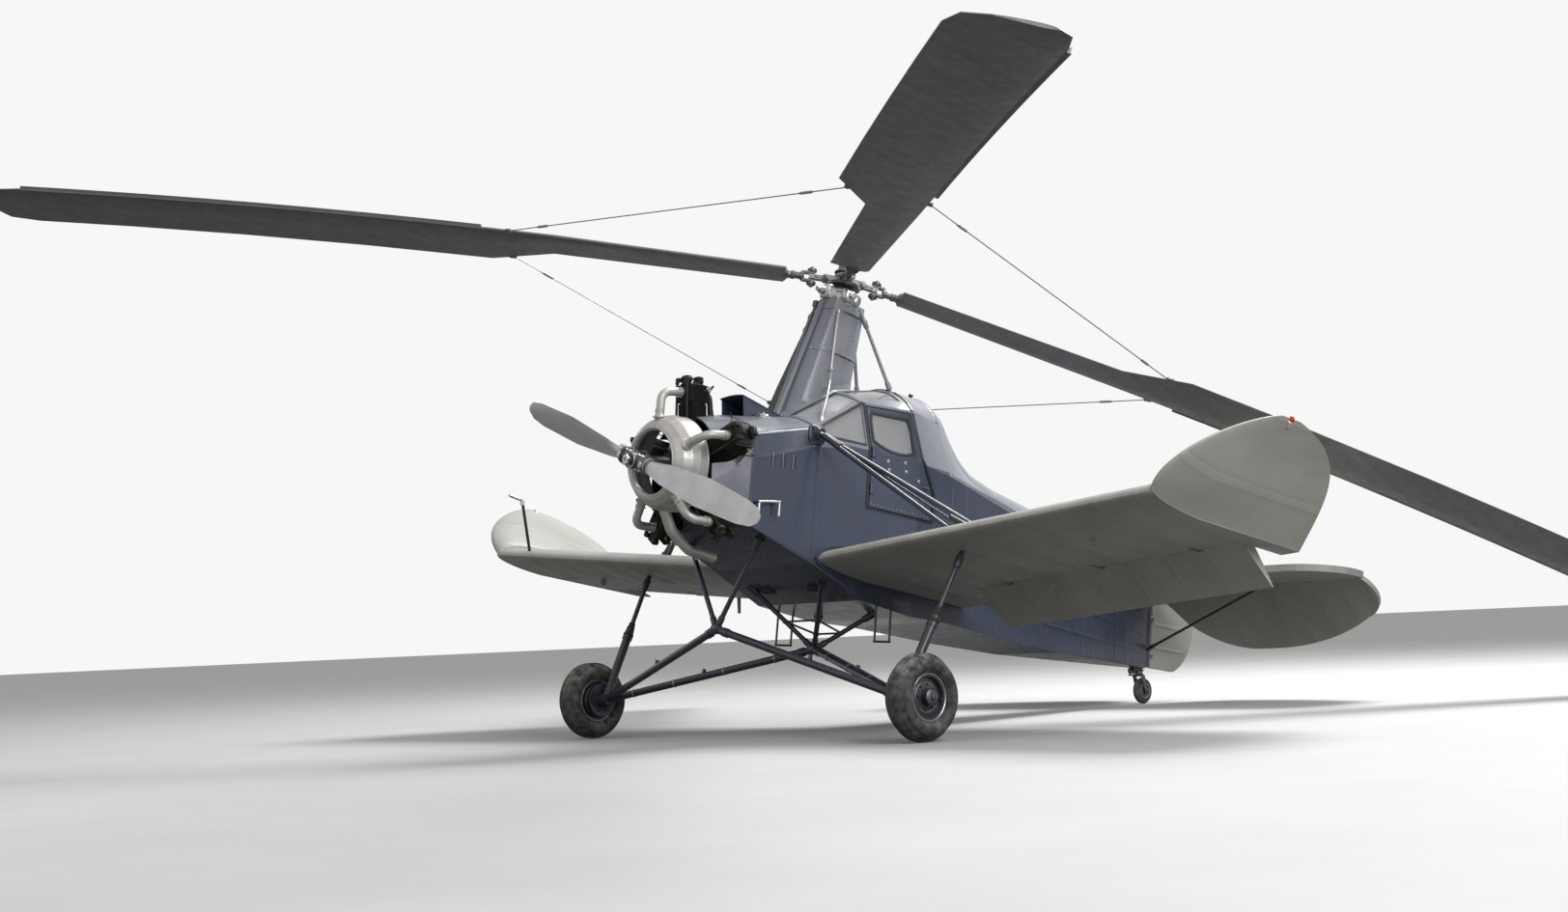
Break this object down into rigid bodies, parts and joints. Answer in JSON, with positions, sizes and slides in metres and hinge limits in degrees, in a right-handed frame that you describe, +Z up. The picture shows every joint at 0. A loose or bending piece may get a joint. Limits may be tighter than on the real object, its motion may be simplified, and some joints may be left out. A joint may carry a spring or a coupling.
{
  "type": "gyrocopter",
  "caption": "Parked cabin autogiro with a drooping four-blade rotor on a faired pylon, open radial engine with a metal propeller, low wing with upturned tips and a wide wheeled gear.",
  "frame": {"origin": "on the ground under the middle of the whole object, rotor blades included", "axes": "+Z up, nose towards -Y, port (left) wing towards +X; parked, tail down"},
  "size_m": [9.9862, 9.1964, 4.0665],
  "materials": {
    "aileron_fabric": "semi-gloss",
    "bare_metal": "satin",
    "blade_paint": "semi-gloss",
    "blue_paint": "gloss",
    "cowl_paint": "gloss",
    "crankcase_metal": "satin",
    "engine_metal": "matt",
    "exhaust_metal": "satin",
    "glass": "clear",
    "hub_steel": "satin",
    "panel_black": "matt",
    "propeller_metal": "satin",
    "seat_leather": "satin",
    "strut_paint": "gloss",
    "tail_fabric": "semi-gloss",
    "tyre_rubber": "matt",
    "wheel_paint": "gloss",
    "wing_fabric": "semi-gloss"
  },
  "bodies": {
    "airframe": {"axle_struts_left": "strut_paint", "axle_struts_right": "strut_paint", "bench_seat": "seat_leather", "cabin_tub": "blue_paint", "canopy_frame": "blue_paint", "control_sticks": "panel_black", "crankcase": "crankcase_metal", "cylinders": "engine_metal", "engine_cowl": "cowl_paint", "exhaust_collector": "exhaust_metal", "fin": "tail_fabric", "front_pyramid": "strut_paint", "instrument_panel": "panel_black", "mast_head": "hub_steel", "pitot_mast": "bare_metal", "pylon_fairing": "blue_paint", "pylon_legs": "strut_paint", "rear_body": "blue_paint", "rear_pyramid": "strut_paint", "roof_panes": "glass", "shock_legs": "strut_paint", "stabiliser": "tail_fabric", "steps": "bare_metal", "tail_struts": "strut_paint", "tailwheel_leg": "strut_paint", "turtledeck": "blue_paint", "windscreen": "glass", "wing_left": "wing_fabric", "wing_right": "wing_fabric", "wing_struts_left": "strut_paint", "wing_struts_right": "strut_paint", "wing_tip_left": "wing_fabric", "wing_tip_right": "wing_fabric"},
    "rotor": {"rotor_hub": "hub_steel", "blade_links": "hub_steel", "blade_front_port": "blade_paint", "blade_rear_port": "blade_paint", "blade_rear_starboard": "blade_paint", "blade_front_starboard": "blade_paint"},
    "propeller": {"propeller": "propeller_metal", "propeller_hub": "hub_steel"},
    "wheel_left": {"tyre_left": "tyre_rubber", "wheel_left": "wheel_paint"},
    "wheel_right": {"tyre_right": "tyre_rubber", "wheel_right": "wheel_paint"},
    "tailwheel_fork": {"tailwheel_fork": "hub_steel"},
    "tailwheel": {"tailwheel": "tyre_rubber"},
    "rudder": {"rudder": "tail_fabric"},
    "elevators": {"elevator_left": "tail_fabric", "elevator_right": "tail_fabric"},
    "aileron_left": {"aileron_left": "aileron_fabric"},
    "aileron_right": {"aileron_right": "aileron_fabric"},
    "door_left": {"cabin_door_left": "blue_paint", "door_glass_left": "glass"},
    "door_right": {"cabin_door_right": "blue_paint", "door_glass_right": "glass"},
    "cowl_flap": {"cowl_flap": "cowl_paint"}
  },
  "joints": [
    {"name": "rotor_spin", "type": "hinge", "parent": "airframe", "child": "rotor", "pos_m": [0, 0.13692, 3.21653], "axis": [0, 0.284, 0.9588], "continuous": true},
    {"name": "propeller_spin", "type": "hinge", "parent": "airframe", "child": "propeller", "pos_m": [0, -1.84371, 1.87289], "axis": [0, 0.9983, -0.0576], "continuous": true},
    {"name": "wheel_left_spin", "type": "hinge", "parent": "airframe", "child": "wheel_left", "pos_m": [1.666, -1.00642, 0.275], "axis": [1, 0, 0], "continuous": true},
    {"name": "wheel_right_spin", "type": "hinge", "parent": "airframe", "child": "wheel_right", "pos_m": [-1.666, -1.00642, 0.275], "axis": [1, 0, 0], "continuous": true},
    {"name": "tailwheel_swivel", "type": "hinge", "parent": "airframe", "child": "tailwheel_fork", "pos_m": [0, 3.28734, 0.11439], "axis": [0, 0.1565, 0.9877], "continuous": true},
    {"name": "tailwheel_spin", "type": "hinge", "parent": "tailwheel_fork", "child": "tailwheel", "pos_m": [0, 3.3466, 0.105], "axis": [1, 0, 0], "continuous": true},
    {"name": "rudder_hinge", "type": "hinge", "parent": "airframe", "child": "rudder", "pos_m": [0, 3.53223, 0.77825], "axis": [0, 0.1565, 0.9877], "range_deg": [-28, 28]},
    {"name": "elevator_hinge", "type": "hinge", "parent": "airframe", "child": "elevators", "pos_m": [0, 3.47502, 0.94121], "axis": [1, 0, 0], "range_deg": [0, 60]},
    {"name": "aileron_left_hinge", "type": "hinge", "parent": "airframe", "child": "aileron_left", "pos_m": [0.95, 0.36592, 0.96314], "axis": [0.9962, 0.0136, 0.0861], "range_deg": [0, 58]},
    {"name": "aileron_right_hinge", "type": "hinge", "parent": "airframe", "child": "aileron_right", "pos_m": [-0.95, 0.36592, 0.96314], "axis": [0.9962, -0.0136, -0.0861], "range_deg": [-58, 0]},
    {"name": "door_left_hinge", "type": "hinge", "parent": "airframe", "child": "door_left", "pos_m": [0.527, -0.19887, 1.77431], "axis": [0, 0.1565, 0.9877], "range_deg": [-75, 0]},
    {"name": "door_right_hinge", "type": "hinge", "parent": "airframe", "child": "door_right", "pos_m": [-0.527, -0.19887, 1.77431], "axis": [0, 0.1565, 0.9877], "range_deg": [0, 75]},
    {"name": "cowl_flap_hinge", "type": "hinge", "parent": "airframe", "child": "cowl_flap", "pos_m": [0, -0.63362, 2.20001], "axis": [1, 0, 0], "range_deg": [0, 22.6]}
  ],
  "couplings": [
    {"joint": "aileron_right_hinge", "follows": "aileron_left_hinge", "ratio": -1}
  ]
}
